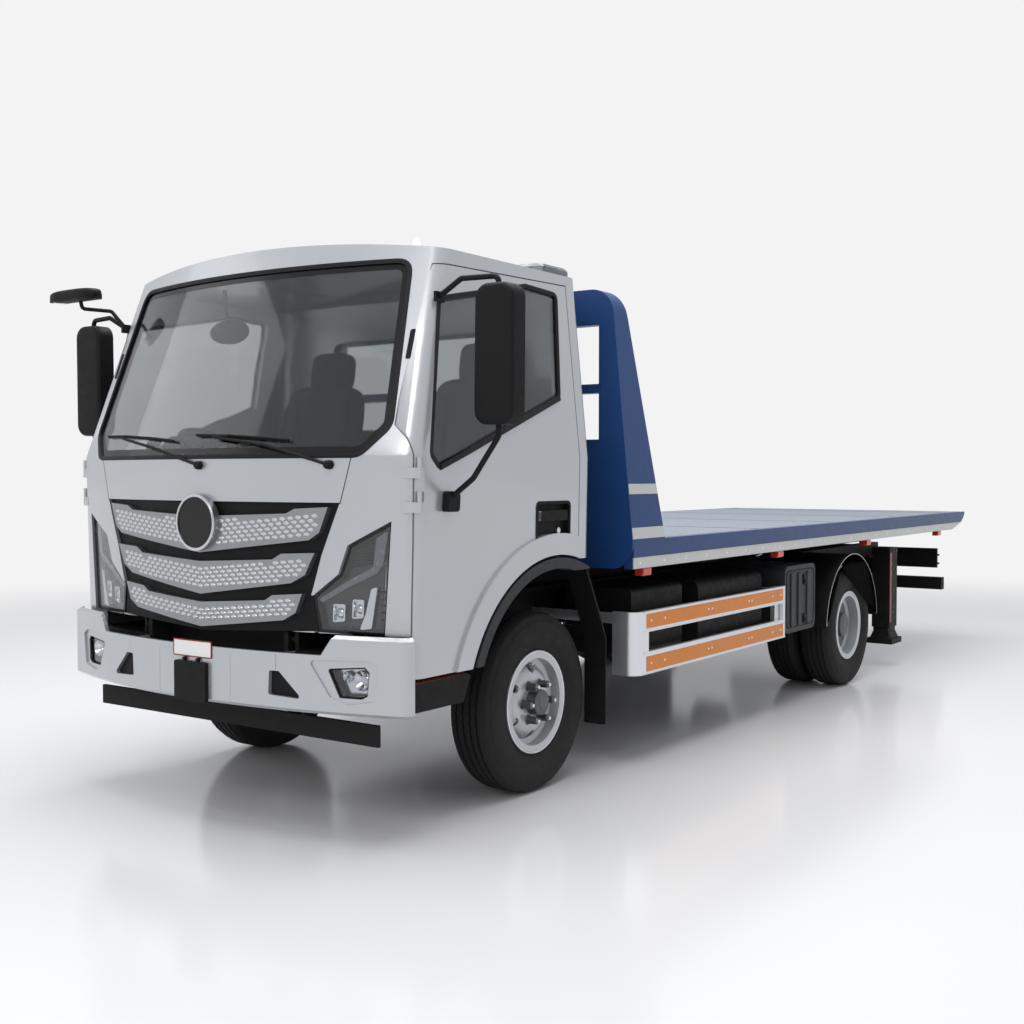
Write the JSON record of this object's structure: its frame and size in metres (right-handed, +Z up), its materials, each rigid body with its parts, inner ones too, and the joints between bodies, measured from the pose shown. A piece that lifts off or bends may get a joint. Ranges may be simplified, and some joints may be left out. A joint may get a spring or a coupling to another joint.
{
  "type": "sliding deck recovery truck",
  "caption": "Cab-over light truck that carries a tilting, sliding flat deck with a headboard, for loading and moving vehicles.",
  "frame": {"origin": "bottom centre of the parked truck, on the ground", "axes": "-Y towards the front of the cab, +X to the side of the truck that the picture shows, +Z up"},
  "size_m": [2.6192, 7.451, 2.42],
  "materials": {
    "silver_paint": "metallic gloss",
    "blue_paint": "gloss",
    "chassis_black": "satin",
    "black_plastic": "grained",
    "glass": "clear",
    "lamp_clear": "clear lens",
    "lamp_red": "lens",
    "tyre": "matte",
    "wheel_steel": "silver paint",
    "cast_iron": "rough",
    "deck_steel": "worn",
    "seat_fabric": "woven",
    "grille_chrome": "satin",
    "guard_aluminium": "brushed"
  },
  "bodies": {
    "chassis": {"chassis_frame": "chassis_black", "front_bumper": "silver_paint", "bumper_lip": "black_plastic", "fog_lamps": "lamp_clear", "engine_block": "cast_iron", "axle_beams": "cast_iron", "leaf_springs": "chassis_black", "cab_steps": "black_plastic", "tool_boxes": "black_plastic", "tanks": "chassis_black", "side_guards": "guard_aluminium", "mudguards": "black_plastic", "leg_sleeves": "chassis_black", "rear_underrun": "chassis_black", "tail_lamps": "lamp_red"},
    "knuckle_left": {"knuckle_left": "cast_iron"},
    "knuckle_right": {"knuckle_right": "cast_iron"},
    "tie_rod": {"tie_rod": "cast_iron"},
    "front_wheel_left": {"front_tyre_left": "tyre", "front_wheel_left": "wheel_steel"},
    "front_wheel_right": {"front_tyre_right": "tyre", "front_wheel_right": "wheel_steel"},
    "rear_wheels_left": {"rear_tyres_left": "tyre", "rear_wheels_left": "wheel_steel"},
    "rear_wheels_right": {"rear_tyres_right": "tyre", "rear_wheels_right": "wheel_steel"},
    "cab": {"cab_front": "silver_paint", "cab_rear": "silver_paint", "cab_roof": "silver_paint", "cab_glass": "glass", "headlights": "lamp_clear", "grille": "black_plastic", "grille_bars": "grille_chrome", "cab_floor": "chassis_black", "wheel_arches": "black_plastic", "seats": "seat_fabric", "dashboard": "black_plastic"},
    "steering_wheel": {"steering_wheel": "black_plastic"},
    "door_left": {"door_left": "silver_paint", "door_glass_left": "glass", "mirror_left": "black_plastic"},
    "door_right": {"door_right": "silver_paint", "door_glass_right": "glass", "mirror_right": "black_plastic"},
    "tilt_frame": {"tilt_frame": "chassis_black", "slide_barrel": "chassis_black"},
    "tilt_barrels": {"tilt_barrels": "chassis_black"},
    "tilt_rods": {"tilt_rods": "grille_chrome"},
    "deck": {"deck_runners": "chassis_black", "deck_beams": "chassis_black", "deck_plate": "deck_steel", "deck_rails": "blue_paint", "headboard": "blue_paint", "light_bar": "lamp_clear", "marker_lamps": "lamp_red", "winch_frame": "chassis_black", "slide_rod": "grille_chrome"},
    "winch_drum": {"winch_drum": "cast_iron"},
    "leg_left": {"leg_left": "chassis_black"},
    "leg_right": {"leg_right": "chassis_black"}
  },
  "joints": [
    {"name": "cab_tilt", "type": "hinge", "parent": "chassis", "child": "cab", "pos_m": [0, -3.567, 0.76], "axis": [1, 0, 0], "range_deg": [0, 45]},
    {"name": "steer_left", "type": "hinge", "parent": "chassis", "child": "knuckle_left", "pos_m": [0.59, -2.527, 0.402], "axis": [0, 0, 1], "range_deg": [-35, 35]},
    {"name": "front_wheel_spin_left", "type": "hinge", "parent": "knuckle_left", "child": "front_wheel_left", "pos_m": [0.8, -2.527, 0.402], "axis": [1, 0, 0], "continuous": true},
    {"name": "rear_wheels_spin_left", "type": "hinge", "parent": "chassis", "child": "rear_wheels_left", "pos_m": [0.81, 1.043, 0.402], "axis": [1, 0, 0], "continuous": true},
    {"name": "door_left_swing", "type": "hinge", "parent": "cab", "child": "door_left", "pos_m": [1.005, -3.485, 1.3], "axis": [0, 0, -1], "range_deg": [0, 70]},
    {"name": "leg_left_slide", "type": "slide", "parent": "chassis", "child": "leg_left", "axis": [0, 0, -1], "range_m": [0, 0.165]},
    {"name": "steer_right", "type": "hinge", "parent": "chassis", "child": "knuckle_right", "pos_m": [-0.59, -2.527, 0.402], "axis": [0, 0, 1], "range_deg": [-35, 35]},
    {"name": "front_wheel_spin_right", "type": "hinge", "parent": "knuckle_right", "child": "front_wheel_right", "pos_m": [-0.8, -2.527, 0.402], "axis": [1, 0, 0], "continuous": true},
    {"name": "rear_wheels_spin_right", "type": "hinge", "parent": "chassis", "child": "rear_wheels_right", "pos_m": [-0.81, 1.043, 0.402], "axis": [1, 0, 0], "continuous": true},
    {"name": "door_right_swing", "type": "hinge", "parent": "cab", "child": "door_right", "pos_m": [-1.005, -3.485, 1.3], "axis": [0, 0, 1], "range_deg": [0, 70]},
    {"name": "leg_right_slide", "type": "slide", "parent": "chassis", "child": "leg_right", "axis": [0, 0, -1], "range_m": [0, 0.165]},
    {"name": "tie_rod_pivot", "type": "hinge", "parent": "knuckle_left", "child": "tie_rod", "pos_m": [0.59, -2.347, 0.31], "axis": [0, 0, 1], "range_deg": [-35, 35]},
    {"name": "steering_wheel_turn", "type": "hinge", "parent": "cab", "child": "steering_wheel", "pos_m": [-0.48, -3.127, 1.48], "axis": [0, 0.5501, 0.8351], "range_deg": [-540, 540]},
    {"name": "deck_tilt", "type": "hinge", "parent": "chassis", "child": "tilt_frame", "pos_m": [0, 3.173, 0.9], "axis": [-1, 0, 0], "range_deg": [0, 16]},
    {"name": "deck_slide", "type": "slide", "parent": "tilt_frame", "child": "deck", "axis": [0, 1, 0], "range_m": [0, 2.8]},
    {"name": "tilt_barrel_pivot", "type": "hinge", "parent": "chassis", "child": "tilt_barrels", "pos_m": [0, 0.573, 0.7], "axis": [1, 0, 0], "range_deg": [0, 18]},
    {"name": "tilt_rod_slide", "type": "slide", "parent": "tilt_barrels", "child": "tilt_rods", "axis": [0, 0.9869, 0.1615], "range_m": [0, 0.19]},
    {"name": "winch_turn", "type": "hinge", "parent": "deck", "child": "winch_drum", "pos_m": [0, -1.717, 1.215], "axis": [1, 0, 0], "continuous": true}
  ],
  "couplings": [
    {"joint": "steer_right", "follows": "steer_left", "ratio": 1},
    {"joint": "tie_rod_pivot", "follows": "steer_left", "ratio": -1},
    {"joint": "tilt_barrel_pivot", "follows": "deck_tilt", "ratio": 1.1237},
    {"joint": "tilt_rod_slide", "follows": "deck_tilt", "m_per_rad": 0.652}
  ]
}
